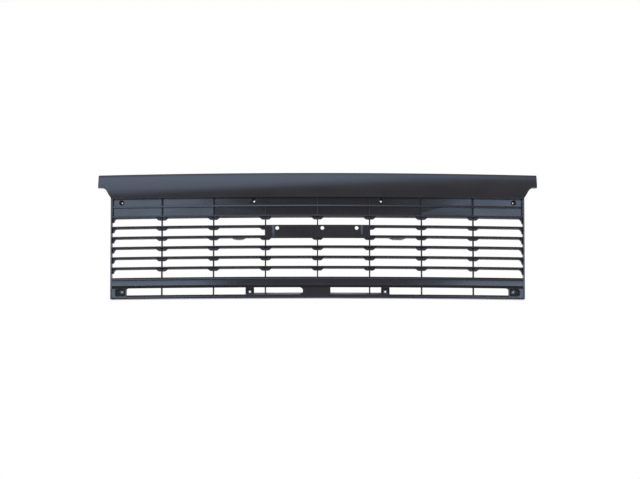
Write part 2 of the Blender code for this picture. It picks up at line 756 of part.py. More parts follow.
def main():
    clear_scene()
    parts = make_collection("front_grille")
    cutters = make_collection("cutters")
    gloss = make_material("moulded_gloss", BLACK, 0.32)
    satin = make_material("moulded_satin", CHARCOAL, 0.45)
    grey = make_material("grey_plastic", GREY, 0.5)
    steel = make_material("spring_steel", STEEL, 0.4, 1.0)

    make_top_moulding(parts, cutters, gloss)
    make_upper_panel(parts, cutters, gloss)
    make_ridge(parts, cutters, gloss)
    make_louvres(parts, cutters, satin)
    make_mullions(parts, satin)
    make_cheeks(parts, gloss)
    make_lower_rail(parts, gloss)
    make_bottom_sill(parts, cutters, gloss)
    make_centre_block(parts, gloss)
    make_pockets(parts, cutters, satin)
    make_retainers(parts, cutters, steel)
    make_cups(parts, satin)
    make_badge_plate(parts, cutters, gloss)
    make_tabs(parts, grey)
    make_support_strips(parts, grey)
    shade(parts)
    centre_on_origin(parts)


main()
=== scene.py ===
"""Looks of the front grille: smooth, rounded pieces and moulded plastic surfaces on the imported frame.

Metres, in the frame's axes: +X to the viewer's right, -Y to the front, +Z up. Lengths called depth run
back from the bowed front, and heights run up from the bottom edge.
"""

import math

import bmesh
import bpy
from mathutils import Matrix, Vector


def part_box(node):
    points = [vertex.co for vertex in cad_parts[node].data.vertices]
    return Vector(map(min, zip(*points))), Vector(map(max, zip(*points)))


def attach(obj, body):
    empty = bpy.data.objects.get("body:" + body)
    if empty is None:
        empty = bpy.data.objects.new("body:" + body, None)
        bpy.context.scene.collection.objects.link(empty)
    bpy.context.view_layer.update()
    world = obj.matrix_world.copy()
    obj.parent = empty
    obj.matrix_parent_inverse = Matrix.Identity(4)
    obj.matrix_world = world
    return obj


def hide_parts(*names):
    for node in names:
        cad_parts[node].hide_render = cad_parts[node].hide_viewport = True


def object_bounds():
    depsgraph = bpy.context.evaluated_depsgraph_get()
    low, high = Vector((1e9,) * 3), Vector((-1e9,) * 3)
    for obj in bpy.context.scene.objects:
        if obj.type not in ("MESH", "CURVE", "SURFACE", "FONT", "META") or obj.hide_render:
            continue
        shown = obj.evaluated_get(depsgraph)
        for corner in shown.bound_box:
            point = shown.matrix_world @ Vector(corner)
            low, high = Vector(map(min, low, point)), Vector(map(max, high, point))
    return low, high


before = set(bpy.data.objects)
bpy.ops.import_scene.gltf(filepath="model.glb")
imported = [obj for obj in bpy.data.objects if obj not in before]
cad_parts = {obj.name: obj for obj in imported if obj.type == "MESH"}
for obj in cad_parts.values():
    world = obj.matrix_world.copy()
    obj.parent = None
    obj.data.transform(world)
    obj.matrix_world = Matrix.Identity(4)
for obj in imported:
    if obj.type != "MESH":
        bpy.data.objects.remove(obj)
CAD_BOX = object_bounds()

MM = 0.001
GAP = 0.3 * MM
TOUCH = 0.03 * MM

# The frame: where depth 0 and height 0 lie, and the bow
FRONT_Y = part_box("louvre_6")[0].y
BASE_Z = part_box("bottom_sill")[0].z
EAR_HALF = CAD_BOX[1].x
BODY_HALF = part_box("side_cheek_right")[1].x
BOW_SETBACK = 50 * MM
BOW_RADIUS = (BODY_HALF**2 + BOW_SETBACK**2) / (2 * BOW_SETBACK)
INNER_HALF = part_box("upper_panel")[1].x
BAY = BODY_HALF / 4
STATION = 8 * MM


def height_of(node, side):
    """Height of a node's bottom (side 0) or top (side 1) above the bottom edge."""
    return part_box(node)[side].z - BASE_Z


HEIGHT = height_of("top_moulding", 1)
MOULDING_BOTTOM = height_of("top_moulding", 0)
LOUVRE_NOSE = 2.4 * MM
LOUVRE_DEPTH = 22 * MM
LOUVRE_TAIL_TOP = -0.9 * MM
LOUVRE_TAIL_BOTTOM = -4 * MM
MULLION_HALF = 1.6 * MM


def louvre_height(number):
    return height_of(f"louvre_{number}", 1) - LOUVRE_NOSE


def bow(x):
    return BOW_RADIUS - math.sqrt(BOW_RADIUS**2 - x * x)


def spot(x, depth, height):
    """The point at x, depth behind the bowed front and height above the bottom edge."""
    return Vector((x, FRONT_Y + bow(x) + depth, BASE_Z + height))


def mullion_places():
    return [i * BAY for i in range(-3, 4)]


# ---------------------------------------------------------------- mesh tools


def mesh_from(bm, name="mesh"):
    bmesh.ops.remove_doubles(bm, verts=bm.verts, dist=1e-6)
    bmesh.ops.dissolve_degenerate(bm, edges=bm.edges, dist=1e-7)
    bmesh.ops.recalc_face_normals(bm, faces=bm.faces)
    mesh = bpy.data.meshes.new(name)
    bm.to_mesh(mesh)
    bm.free()
    return mesh


def arc(centre, radius, start, end, steps):
    """Points along an arc, with angles in degrees."""
    points = []
    for step in range(steps + 1):
        angle = math.radians(start + (end - start) * step / steps)
        points.append((centre[0] + radius * math.cos(angle), centre[1] + radius * math.sin(angle)))
    return points


def rounded(corners, steps=4):
    """A closed outline from corners (across, up, radius), each rounded by an arc."""
    points = []
    count = len(corners)
    for i, (a, b, radius) in enumerate(corners):
        here = Vector((a, b))
        before = Vector(corners[i - 1][:2]) - here
        after = Vector(corners[(i + 1) % count][:2]) - here
        if radius <= 0 or before.length < 1e-9 or after.length < 1e-9:
            points.append((a, b))
            continue
        one = before.normalized()
        two = after.normalized()
        half = one.angle(two) / 2
        if abs(half - math.pi / 2) < 0.02:
            points.append((a, b))
            continue
        reach = min(radius / math.tan(half), 0.48 * before.length, 0.48 * after.length)
        true_radius = reach * math.tan(half)
        centre = here + (one + two).normalized() * (true_radius / math.sin(half))
        first = here + one * reach - centre
        last = here + two * reach - centre
        turn = math.atan2(first.x * last.y - first.y * last.x, first.dot(last))
        for step in range(steps + 1):
            angle = turn * step / steps
            c, s = math.cos(angle), math.sin(angle)
            points.append((centre.x + c * first.x - s * first.y, centre.y + s * first.x + c * first.y))
    return points


def supported(outline, closed=True, width=0.8 * MM, least=3.5 * MM):
    """The outline with a point added near both ends of every long side, so that shading stays flat."""
    points = []
    count = len(outline)
    for i in range(count if closed else count - 1):
        a = Vector(outline[i])
        b = Vector(outline[(i + 1) % count])
        points.append(tuple(a))
        if (b - a).length > least:
            step = (b - a).normalized() * width
            points.append(tuple(a + step))
            points.append(tuple(b - step))
    if not closed:
        points.append(tuple(outline[-1]))
    return points


def stations(low, high, extra=()):
    """Places along X no further apart than STATION, with the extra places among them."""
    marks = sorted({low, high, *[x for x in extra if low < x < high]})
    places = []
    for a, b in zip(marks, marks[1:]):
        count = max(1, math.ceil((b - a) / STATION))
        places += [a + (b - a) * i / count for i in range(count)]
    return places + [high]


def skin(rings, capped=True):
    """A closed body through rings of the same number of points."""
    bm = bmesh.new()
    made = [[bm.verts.new(point) for point in ring] for ring in rings]
    for low, high in zip(made, made[1:]):
        for i in range(len(low)):
            j = (i + 1) % len(low)
            bm.faces.new((low[i], low[j], high[j], high[i]))
    if capped:
        bm.faces.new(list(reversed(made[0])))
        bm.faces.new(made[-1])
    return mesh_from(bm)


def swept(outline, low, high, extra=()):
    """A (depth, height) outline carried along the bow from low to high."""
    return skin([[spot(x, depth, up) for depth, up in outline] for x in stations(low, high, extra)])


def bevelled(mesh, width, segments=2, angle=35):
    """The mesh with its sharp edges rounded."""
    bm = bmesh.new()
    bm.from_mesh(mesh)
    sharp = [e for e in bm.edges if len(e.link_faces) == 2 and e.calc_face_angle(0) > math.radians(angle)]
    bmesh.ops.bevel(
        bm, geom=sharp, offset=width, segments=segments, profile=0.5, affect="EDGES", clamp_overlap=True
    )
    return mesh_from(bm)


def plate(outline, depth_front, depth_back, edge=0.0, step=STATION):
    """An (x, height) outline given thickness along Y and bent to the bow, with its edges rounded first."""
    bm = bmesh.new()
    front = [bm.verts.new((x, depth_front, up)) for x, up in outline]
    back = [bm.verts.new((x, depth_back, up)) for x, up in outline]
    bm.faces.new(front)
    bm.faces.new(list(reversed(back)))
    for i in range(len(front)):
        j = (i + 1) % len(front)
        bm.faces.new((front[j], front[i], back[i], back[j]))
    mesh = mesh_from(bm)
    if edge:
        mesh = bevelled(mesh, edge)
    return bent(mesh, step)


def bent(mesh, step=STATION):
    """The mesh, made with depth along Y and height along Z, cut finely along X and bent to the bow."""
    bm = bmesh.new()
    bm.from_mesh(mesh)
    low = min(vert.co.x for vert in bm.verts)
    high = max(vert.co.x for vert in bm.verts)
    count = max(1, math.ceil((high - low) / step))
    for i in range(1, count):
        x = low + (high - low) * i / count
        everything = bm.verts[:] + bm.edges[:] + bm.faces[:]
        bmesh.ops.bisect_plane(bm, geom=everything, plane_co=(x, 0, 0), plane_no=(1, 0, 0), dist=1e-6)
    for vert in bm.verts:
        vert.co = spot(vert.co.x, vert.co.y, vert.co.z)
    return mesh_from(bm)


def block(x0, x1, y0, y1, z0, z1, edge=0.0):
    """A box in depth and height measures, not yet bent."""
    bm = bmesh.new()
    bmesh.ops.create_cube(bm, size=1)
    for vert in bm.verts:
        vert.co.x = x1 if vert.co.x > 0 else x0
        vert.co.y = y1 if vert.co.y > 0 else y0
        vert.co.z = z1 if vert.co.z > 0 else z0
    mesh = mesh_from(bm)
    return bevelled(mesh, edge) if edge else mesh


def slab(x, outline, half):
    """A (depth, height) outline made into an upright plate across x, not yet bent."""
    bm = bmesh.new()
    left = [bm.verts.new((x - half, depth, up)) for depth, up in outline]
    right = [bm.verts.new((x + half, depth, up)) for depth, up in outline]
    bm.faces.new(left)
    bm.faces.new(list(reversed(right)))
    for i in range(len(left)):
        j = (i + 1) % len(left)
        bm.faces.new((left[j], left[i], right[i], right[j]))
    return mesh_from(bm)


def turned(profile, segments=48):
    """A closed (radius, depth) profile turned about the Y axis."""
    rings = []
    for i in range(segments):
        angle = 2 * math.pi * i / segments
        rings.append([Vector((r * math.cos(angle), depth, r * math.sin(angle))) for r, depth in profile])
    rings.append(rings[0])
    return skin(rings, capped=False)


def moved(mesh, x, y, z):
    copy = mesh.copy()
    copy.transform(Matrix.Translation((x, y, z)))
    return copy


def gathered(meshes):
    bm = bmesh.new()
    for mesh in meshes:
        bm.from_mesh(mesh)
    together = bpy.data.meshes.new("gathered")
    bm.to_mesh(together)
    bm.free()
    return together


def combined(mesh, operation, others):
    """The mesh after one exact Boolean with all the others."""
    target = bpy.data.objects.new("target", mesh)
    tool = bpy.data.objects.new("tool", gathered(others))
    bpy.context.scene.collection.objects.link(target)
    bpy.context.scene.collection.objects.link(tool)
    step = target.modifiers.new("step", "BOOLEAN")
    step.operation = operation
    step.solver = "EXACT"
    step.object = tool
    bpy.context.view_layer.update()
    graph = bpy.context.evaluated_depsgraph_get()
    result = bpy.data.meshes.new_from_object(target.evaluated_get(graph))
    bpy.data.objects.remove(target)
    bpy.data.objects.remove(tool)
    bm = bmesh.new()
    bm.from_mesh(result)
    return mesh_from(bm)


def cut(mesh, others):
    return combined(mesh, "DIFFERENCE", others)


def join(mesh, others):
    return combined(mesh, "UNION", others)


# ---------------------------------------------------------------- materials


def add_node(tree, kind, **settings):
    node = tree.nodes.new(kind)
    for name, value in settings.items():
        if name in node.inputs:
            node.inputs[name].default_value = value
        else:
            setattr(node, name, value)
    return node


def calc(tree, operation, first, second=None, third=None):
    """A Math node. Each value is a number or an output socket."""
    node = tree.nodes.new("ShaderNodeMath")
    node.operation = operation
    for socket, value in zip(node.inputs, (first, second, third)):
        if value is None:
            continue
        if isinstance(value, (int, float)):
            socket.default_value = value
        else:
            tree.links.new(value, socket)
    return node.outputs[0]


def ramp(tree, value, low, high, out_low=0.0, out_high=1.0, smooth=True):
    """The value carried from low..high to out_low..out_high."""
    node = tree.nodes.new("ShaderNodeMapRange")
    node.interpolation_type = "SMOOTHSTEP" if smooth else "LINEAR"
    tree.links.new(value, node.inputs["Value"])
    node.inputs["From Min"].default_value = low
    node.inputs["From Max"].default_value = high
    node.inputs["To Min"].default_value = out_low
    node.inputs["To Max"].default_value = out_high
    return node.outputs["Result"]


def blend_colour(tree, factor, first, second, mode="MIX"):
    node = tree.nodes.new("ShaderNodeMix")
    node.data_type = "RGBA"
    node.blend_type = mode
    for socket, value in ((node.inputs[0], factor), (node.inputs[6], first), (node.inputs[7], second)):
        if isinstance(value, (int, float, tuple)):
            socket.default_value = value
        else:
            tree.links.new(value, socket)
    return node.outputs[2]


def noise(tree, vector, scale, detail=2.0, rough=0.5):
    node = add_node(tree, "ShaderNodeTexNoise", Scale=scale, Detail=detail, Roughness=rough)
    tree.links.new(vector, node.inputs["Vector"])
    return node.outputs["Fac"]


def edge_match(tree, radius):
    """How nearly the surface faces the same way as its softened form: 1 on flats and less at edges."""
    soft_edge = add_node(tree, "ShaderNodeBevel", samples=4, Radius=radius)
    true_face = tree.nodes.new("ShaderNodeNewGeometry").outputs["Normal"]
    match = tree.nodes.new("ShaderNodeVectorMath")
    match.operation = "DOT_PRODUCT"
    tree.links.new(soft_edge.outputs[0], match.inputs[0])
    tree.links.new(true_face, match.inputs[1])
    return match.outputs["Value"]


def moulded_plastic(name, colour, worn, roughness, grain, sheen_waves=0.03):
    """Injection-moulded plastic: fine spark grain, soft flow marks, dust, and paler rubbed edges."""
    material = bpy.data.materials.new(name)
    material.use_nodes = True
    material.diffuse_color = colour
    tree = material.node_tree
    shader = tree.nodes["Principled BSDF"]
    place = tree.nodes.new("ShaderNodeTexCoord").outputs["Object"]

    flow = tree.nodes.new("ShaderNodeMapping")
    flow.inputs["Scale"].default_value = (0.35, 1.0, 1.0)
    tree.links.new(place, flow.inputs["Vector"])
    cloud = noise(tree, flow.outputs[0], 22.0, 4.0, 0.6)
    speck = noise(tree, place, 2600.0, 2.0)
    grains = noise(tree, place, 2300.0, 2.0, 0.6)
    waves = noise(tree, flow.outputs[0], 38.0, 1.0)

    tone = ramp(tree, cloud, 0.3, 0.7, 0.86, 1.14)
    base = blend_colour(tree, 1.0, colour, tone, "MULTIPLY")
    dust = calc(tree, "MULTIPLY", ramp(tree, speck, 0.58, 0.74), 0.18)
    base = blend_colour(tree, dust, base, worn)

    edge = ramp(tree, edge_match(tree, 0.9 * MM), 0.985, 0.86)
    rubbed = calc(tree, "MULTIPLY", edge, ramp(tree, cloud, 0.35, 0.65, 0.15, 0.6))
    base = blend_colour(tree, rubbed, base, worn)
    tree.links.new(base, shader.inputs["Base Color"])

    dull = ramp(tree, cloud, 0.3, 0.7, roughness - 0.03, roughness + 0.04)
    dull = calc(tree, "ADD", dull, calc(tree, "MULTIPLY", dust, 0.25))
    tree.links.new(dull, shader.inputs["Roughness"])

    fine = add_node(tree, "ShaderNodeBump", Strength=grain, Distance=0.05 * MM)
    tree.links.new(grains, fine.inputs["Height"])
    broad = add_node(tree, "ShaderNodeBump", Strength=sheen_waves, Distance=1.2 * MM)
    tree.links.new(waves, broad.inputs["Height"])
    tree.links.new(broad.outputs[0], fine.inputs["Normal"])
    tree.links.new(fine.outputs[0], shader.inputs["Normal"])
    return material


def sprung_steel(name, colour, roughness):
    """Dark spring steel with rolling lines, blotches of bluing and bright edges."""
    material = bpy.data.materials.new(name)
    material.use_nodes = True
    material.diffuse_color = colour
    tree = material.node_tree
    shader = tree.nodes["Principled BSDF"]
    shader.inputs["Metallic"].default_value = 1.0
    place = tree.nodes.new("ShaderNodeTexCoord").outputs["Object"]
    stretch = tree.nodes.new("ShaderNodeMapping")
    stretch.inputs["Scale"].default_value = (1.0, 1.0, 0.05)
    tree.links.new(place, stretch.inputs["Vector"])
    lines = noise(tree, stretch.outputs[0], 4000.0, 3.0)
    blotch = noise(tree, place, 260.0, 3.0)
    base = blend_colour(tree, ramp(tree, blotch, 0.35, 0.65), colour, (0.13, 0.15, 0.20, 1))
    bright = ramp(tree, edge_match(tree, 0.4 * MM), 0.985, 0.8, 0.0, 0.7)
    base = blend_colour(tree, bright, base, (0.6, 0.6, 0.6, 1))
    tree.links.new(base, shader.inputs["Base Color"])
    tree.links.new(ramp(tree, lines, 0.3, 0.7, roughness - 0.08, roughness + 0.1), shader.inputs["Roughness"])
    bump = add_node(tree, "ShaderNodeBump", Strength=0.2, Distance=0.03 * MM)
    tree.links.new(lines, bump.inputs["Height"])
    tree.links.new(bump.outputs[0], shader.inputs["Normal"])
    return material


GLOSS = moulded_plastic("moulded_gloss", (0.021, 0.022, 0.026, 1), (0.070, 0.072, 0.078, 1), 0.16, 0.08)
SATIN = moulded_plastic("moulded_satin", (0.019, 0.0165, 0.016, 1), (0.060, 0.062, 0.068, 1), 0.40, 0.22)
# Tab plastic: near white, far paler than the part's own grey, so partly its colour and partly painted light on
# the shaded tabs
GREY_WITH_PAINTED_LIGHT = moulded_plastic("grey_plastic", (0.88, 0.88, 0.89, 1), (0.92, 0.92, 0.93, 1), 0.48, 0.25)
# A second copy of the grey plastic, toned for the support strips: partly their grey and partly painted light
# for the lit ledge
STRIP_GREY_WITH_PAINTED_LIGHT = moulded_plastic("grey_plastic_strip_painted_light", (0.80, 0.81, 0.82, 1), (0.84, 0.84, 0.85, 1), 0.48, 0.25)
STEEL = sprung_steel("spring_steel", (0.16, 0.16, 0.165, 1), 0.40)


# ---------------------------------------------------------------- pieces


def dress(mesh, node, material, sharp=38):
    """Puts a finished mesh in the scene in place of its CAD node."""
    mesh.materials.clear()
    mesh.materials.append(material)
    mesh.shade_smooth()
    mesh.set_sharp_from_angle(angle=math.radians(sharp))
    piece = bpy.data.objects.new(f"{node}_finish", mesh)
    bpy.context.scene.collection.objects.link(piece)
    even = piece.modifiers.new("even_shading", "WEIGHTED_NORMAL")
    even.keep_sharp = True
    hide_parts(node)
    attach(piece, "root")
    return piece


# Top moulding
CROWN_FRONT = -6 * MM
CROWN_LOW = 6
CROWN_HIGH = 42
EDGE_RADIUS = 4 * MM
FOOT_RADIUS = 1.6 * MM
CROWN_FOOT = MOULDING_BOTTOM + 0.6 * MM
LOW_SINE = math.sin(math.radians(CROWN_LOW))
HIGH_SINE = math.sin(math.radians(CROWN_HIGH))
CROWN_RADIUS = (HEIGHT - EDGE_RADIUS * (1 - HIGH_SINE) - CROWN_FOOT) / (HIGH_SINE - LOW_SINE)
CROWN_AXIS = CROWN_FOOT - CROWN_RADIUS * LOW_SINE
CROWN_CENTRE = CROWN_FRONT + CROWN_RADIUS * math.cos(math.radians(CROWN_LOW))
SHELL = 3 * MM
END_RADIUS = 1.5 * MM
TOP_FALL = 1 * MM
BACK_LOW = 13 * MM
BACK_HIGH = 40 * MM
BACK_SLOPE = 27 / 63
RIB_HALF = 0.8 * MM

# How far outside the body (first) the lower edge has risen by how much (second), in millimetres
EAR_SWEEP = (
    (-0.3, 0.0),
    (0.0, 4.0),
    (3.0, 8.2),
    (6.5, 13.8),
    (9.5, 19.2),
    (12.0, 23.4),
    (14.5, 26.8),
    (17.5, 29.4),
    (21.0, 30.4),
    (24.0, 30.5),
)
# Sections between them, in millimetres outside the body
EAR_SECTIONS = (-0.31, 0, 1.5, 3, 4.7, 6.5, 8, 9.5, 10.8, 12, 13.2, 14.5, 16, 17.5, 19, 21, 24)


def crown_depth(height):
    """Depth of the moulding's convex face at a height."""
    rise = min(max(height - CROWN_AXIS, -CROWN_RADIUS), CROWN_RADIUS)
    return CROWN_CENTRE - math.sqrt(CROWN_RADIUS**2 - rise**2)


def flange_back(height):
    """Depth of the moulding's back edge at a height."""
    return BACK_LOW + BACK_SLOPE * (height - MOULDING_BOTTOM)


def moulding_low(x, inset=0.0):
    """Height of the moulding's lower edge at x: straight along the body, swept up to the ears."""
    out = abs(x) + inset - BODY_HALF
    marks = [(place * MM, risen * MM) for place, risen in EAR_SWEEP]
    if out <= marks[0][0]:
        return MOULDING_BOTTOM + inset
    for (a, low), (b, high) in zip(marks, marks[1:]):
        if out <= b:
            return MOULDING_BOTTOM + inset + low + (high - low) * (out - a) / (b - a)
    return MOULDING_BOTTOM + inset + marks[-1][1]


def moulding_section(x, inset, corner):
    """The C section at x as (depth, height): lower flange, convex face, rolled top edge, top flange."""
    low = moulding_low(x, inset)
    back = flange_back(low - inset)
    face = crown_depth(low) + inset
    points = [(back, low)]
    points += [(face + corner + (back - face - corner) * f, low) for f in (0.6, 0.08)]
    foot = crown_depth(low + corner) + inset
    for angle in (0, 0.4, 0.8, 1.2):
        points.append((foot + corner - corner * math.sin(angle), low + corner - corner * math.cos(angle)))
    axis_height = HEIGHT - EDGE_RADIUS
    reach = math.radians(CROWN_HIGH)
    top_face = CROWN_AXIS + CROWN_RADIUS * math.sin(reach)
    start = low + corner
    for i in range(25):
        height = start + (top_face - start) * i / 24
        angle = math.asin(max(-1, min(1, (height - CROWN_AXIS) / CROWN_RADIUS)))
        points.append((crown_depth(height) + inset * math.cos(angle), height - inset * math.sin(angle)))
    edge = crown_depth(top_face) + EDGE_RADIUS * math.cos(reach)
    for i in range(1, 7):
        angle = reach + (math.pi / 2 - reach) * i / 6
        radius = EDGE_RADIUS - inset
        points.append((edge - radius * math.cos(angle), axis_height + radius * math.sin(angle)))
    top = points[-1]
    run = BACK_HIGH - top[0]
    fall = HEIGHT - TOP_FALL - inset - top[1]
    return points + [(top[0] + run * f, top[1] + fall * f) for f in (0.05, 0.5, 1.0)]


def moulding_columns(inset, corner, rounding):
    """Sections from one ear's end to the other."""
    end = EAR_HALF - inset
    inner = stations(-BODY_HALF + 1 * MM, BODY_HALF - 1 * MM)
    side = [BODY_HALF + out * MM for out in EAR_SECTIONS if BODY_HALF + out * MM < end - END_RADIUS]
    xs = [-x for x in reversed(side)] + inner + side
    columns = [[spot(x, d, h) for d, h in moulding_section(x, inset, corner)] for x in xs]
    for turn in (0, 0.35, 0.7, 1.05, 1.4, math.pi / 2):
        if rounding:
            x = end - END_RADIUS + END_RADIUS * math.sin(turn)
            sunk = END_RADIUS * (1 - math.cos(turn))
        else:
            x = end - END_RADIUS * (1 - turn / (math.pi / 2))
            sunk = 0.0
        for sign in (-1, 1):
            section = [spot(sign * x, d, h) for d, h in moulding_section(x, inset + sunk, corner)]
            if sign < 0:
                columns.insert(0, section)
            else:
                columns.append(section)
    return columns


def moulding_rib(x):
    """A stiffening rib across the hollow behind the crown."""
    low = MOULDING_BOTTOM + SHELL - 0.5 * MM
    top = HEIGHT - 4.5 * MM
    heights = [low + (top - low) * i / 8 for i in range(9)]
    outline = [(crown_depth(height) + SHELL - 0.8 * MM, height) for height in heights]
    outline += [(flange_back(top) - 9 * MM, top), (flange_back(low) - 1.5 * MM, low)]
    return bent(slab(x, outline, RIB_HALF))


def make_top_moulding():
    """A shell of C section, open at the back, with ribs at the mullions and half way between them."""
    outer = moulding_columns(0.0, FOOT_RADIUS, True)
    inner = moulding_columns(SHELL, 0.6 * MM, False)
    bm = bmesh.new()
    made = []
    for columns in (outer, inner):
        grid = [[bm.verts.new(point) for point in column] for column in columns]
        for left, right in zip(grid, grid[1:]):
            for i in range(len(left) - 1):
                bm.faces.new((left[i], right[i], right[i + 1], left[i + 1]))
        bm.faces.new(grid[0])
        bm.faces.new(list(reversed(grid[-1])))
        rim = [column[0] for column in grid] + [column[-1] for column in reversed(grid)]
        made.append(rim)
    for i in range(len(made[0])):
        j = (i + 1) % len(made[0])
        bm.faces.new((made[0][i], made[0][j], made[1][j], made[1][i]))
    shell = mesh_from(bm)
    ribs = []
    for i in range(-8, 9):
        x = i * BAY / 2
        if abs(x) > BODY_HALF - 4 * MM:
            x = math.copysign(BODY_HALF - 6 * MM, x)
        ribs.append(moulding_rib(x))
    dress(join(shell, ribs), "top_moulding", GLOSS)


# Closed upper panel
PANEL_FRONT = 10 * MM
PANEL_BACK = 12.5 * MM
PANEL_BOTTOM = height_of("upper_panel", 0)
PANEL_TOP = MOULDING_BOTTOM - TOUCH
NOTCH_HEIGHT = 7 * MM

# Each screw cup's place and radius
CUPS = {
    "screw_cup_1": (-490 * MM, 6.5 * MM),
    "screw_cup_2": (-158 * MM, 7 * MM),
    "screw_cup_3": (158 * MM, 7 * MM),
    "screw_cup_4": (490 * MM, 6.5 * MM),
}


def at_cup(mesh, node):
    """A mesh made about the Y axis, set on a cup's place and turned square to the bowed panel."""
    x = CUPS[node][0]
    low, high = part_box(node)
    pivot = (PANEL_FRONT + PANEL_BACK) / 2
    place = Matrix.Translation((x, FRONT_Y + bow(x) + pivot, (low.z + high.z) / 2))
    copy = mesh.copy()
    lean = Matrix.Rotation(math.asin(x / BOW_RADIUS), 4, "Z")
    copy.transform(place @ lean @ Matrix.Translation((0, -pivot, 0)))
    return copy


def make_upper_panel():
    """A wall that is flat within each bay, holed and bossed for the cups and notched for the mullions."""
    outline = rounded(
        [
            (PANEL_FRONT, PANEL_BOTTOM, 0.8 * MM),
            (PANEL_BACK, PANEL_BOTTOM, 0.8 * MM),
            (PANEL_BACK, PANEL_TOP, 0.3 * MM),
            (PANEL_FRONT, PANEL_TOP, 0.3 * MM),
        ],
        3,
    )
    bay_ends = [-INNER_HALF, *mullion_places(), INNER_HALF]
    panel = skin([[spot(x, depth, up) for depth, up in supported(outline)] for x in bay_ends])
    tools = []
    bosses = []
    for node, (x, radius) in CUPS.items():
        tools.append(at_cup(pin(radius + TOUCH, PANEL_FRONT - 6 * MM, PANEL_BACK + 20 * MM), node))
        bosses.append(at_cup(pin(radius + 0.9 * MM, PANEL_BACK - 0.6 * MM, PANEL_BACK + 4.5 * MM), node))
    half = MULLION_HALF + TOUCH
    low = BASE_Z + PANEL_BOTTOM - 5 * MM
    high = BASE_Z + PANEL_BOTTOM + NOTCH_HEIGHT + TOUCH
    for x in mullion_places():
        y = FRONT_Y + bow(x)
        tools.append(block(x - half, x + half, y - 5 * MM, y + 40 * MM, low, high))
    dress(cut(join(panel, bosses), tools), "upper_panel", GLOSS)


def pin(radius, depth_front, depth_back, segments=40):
    """A cylinder about the Y axis."""
    bm = bmesh.new()
    rings = []
    for i in range(segments):
        angle = 2 * math.pi * i / segments
        rings.append((radius * math.cos(angle), radius * math.sin(angle)))
    front = [bm.verts.new((a, depth_front, b)) for a, b in rings]
    back = [bm.verts.new((a, depth_back, b)) for a, b in rings]
    bm.faces.new(front)
    bm.faces.new(list(reversed(back)))
    for i in range(segments):
        j = (i + 1) % segments
        bm.faces.new((front[j], front[i], back[i], back[j]))
    return mesh_from(bm)


def rod(x, height, radius, depth_front, depth_back):
    """A cylinder along Y at a place on the bow."""
    return moved(pin(radius, depth_front, depth_back), x, FRONT_Y + bow(x), BASE_Z + height)


# Louvres
GUSSET_TOP = 15.5 * MM
GUSSET_FOOT = 7 * MM
GUSSET_DROP = 8.6 * MM
GUSSET_FRONT = 6 * MM
GUSSET_BACK = 21.5 * MM
ROOT = -1.2 * MM
UNDERSIDE = -2.2 * MM

# Reach, foot and drop of the hooks at the left and right ends, which differ
HOOKS = {-1: (15 * MM, 5 * MM, 13 * MM), 1: (15.5 * MM, 3 * MM, 16 * MM)}
BADGE_REBATE = 130.3 * MM


def gusset(x, sign):
    """Half of a gusset: a smooth shoulder that falls from the louvre to its foot beside the mullion."""
    start = MULLION_HALF + TOUCH
    shoulder = GUSSET_TOP + 3 * MM
    outline = [(start, ROOT), (shoulder, ROOT)]
    for i in range(9):
        t = i / 8
        fall = t * t * (3 - 2 * t)
        across = shoulder + (GUSSET_FOOT - shoulder) * t
        outline.append((across, UNDERSIDE - (GUSSET_DROP + UNDERSIDE) * fall))
    outline.append((start, -GUSSET_DROP))
    return plate([(x + sign * a, up) for a, up in outline], GUSSET_FRONT, GUSSET_BACK, 0.5 * MM)


def hook(sign):
    """The curved fillet and stepped hook between a louvre's underside and the cheek."""
    end = INNER_HALF - TOUCH
    reach, foot, drop = HOOKS[sign]
    radius = reach - foot
    centre = (end - reach, -LOUVRE_NOSE - radius)
    outline = [(end, -drop), (end, ROOT), (end - reach - 3 * MM, ROOT)]
    outline += [(end - reach - 3 * MM, -2.3 * MM)] + arc(centre, radius, 90, 6, 10)
    outline += [(end - foot, -drop + 2.2 * MM), (end - foot + 1.4 * MM, -drop)]
    return plate([(sign * a, up) for a, up in outline], GUSSET_FRONT, GUSSET_BACK, 0.5 * MM)


def louvre_outline(leaning=False):
    """A tapered bar with a round nose. The one below the closed panel has a flat front that leans back."""
    tail_radius = 0.7 * MM
    tail = [(LOUVRE_DEPTH, LOUVRE_TAIL_BOTTOM, tail_radius), (LOUVRE_DEPTH, LOUVRE_TAIL_TOP, tail_radius)]
    if leaning:
        foot = (0.0, -LOUVRE_NOSE, 1.1 * MM)
        front = [(1.7 * MM, LOUVRE_NOSE, 0.4 * MM), (0.05 * MM, -0.9 * MM, 0.6 * MM)]
    else:
        foot = (0.0, -LOUVRE_NOSE, 1.9 * MM)
        front = [(0.0, LOUVRE_NOSE, 1.9 * MM)]
    return supported(rounded([foot] + tail + front, 5))


def at_height(mesh, height):
    return moved(mesh, 0, 0, height)


